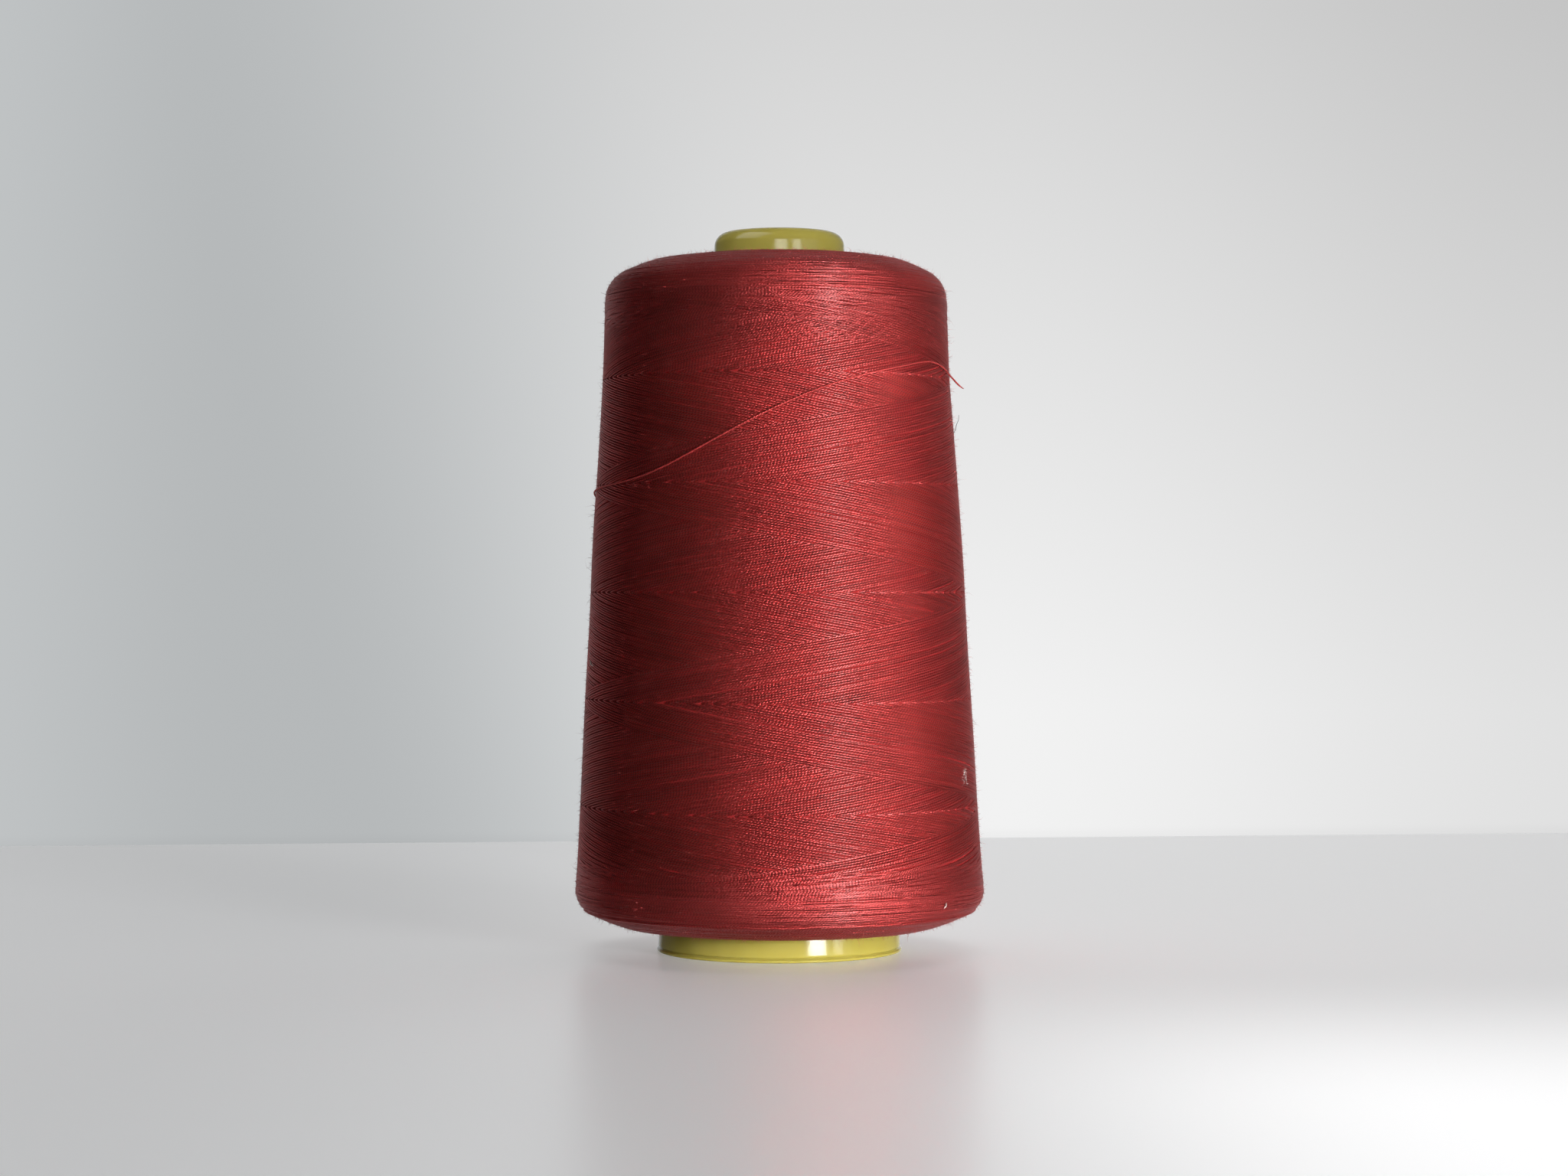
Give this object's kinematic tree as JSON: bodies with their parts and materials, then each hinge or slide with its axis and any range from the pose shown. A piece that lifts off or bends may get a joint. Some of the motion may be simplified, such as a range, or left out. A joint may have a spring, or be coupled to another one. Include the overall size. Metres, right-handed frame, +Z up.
{
  "type": "cone of sewing thread",
  "caption": "Cross-wound cone of red sewing thread on a hollow yellow-green plastic cone, with the thread's free end across its front.",
  "frame": {"origin": "centre of the plastic cone's base ring, on the surface that it stands on", "axes": "+Z up along the cone's axis towards its small end, -Y towards the viewer, where the loose thread crosses the front"},
  "size_m": [0.065, 0.065, 0.115],
  "materials": {
    "plastic": "semi-gloss moulded polypropylene, slightly translucent",
    "thread": "spun two-ply polyester, soft sheen with fine fuzz"
  },
  "bodies": {
    "root": {"plastic_cone": "plastic", "wound_thread": "thread", "loose_thread": "thread"}
  },
  "joints": []
}
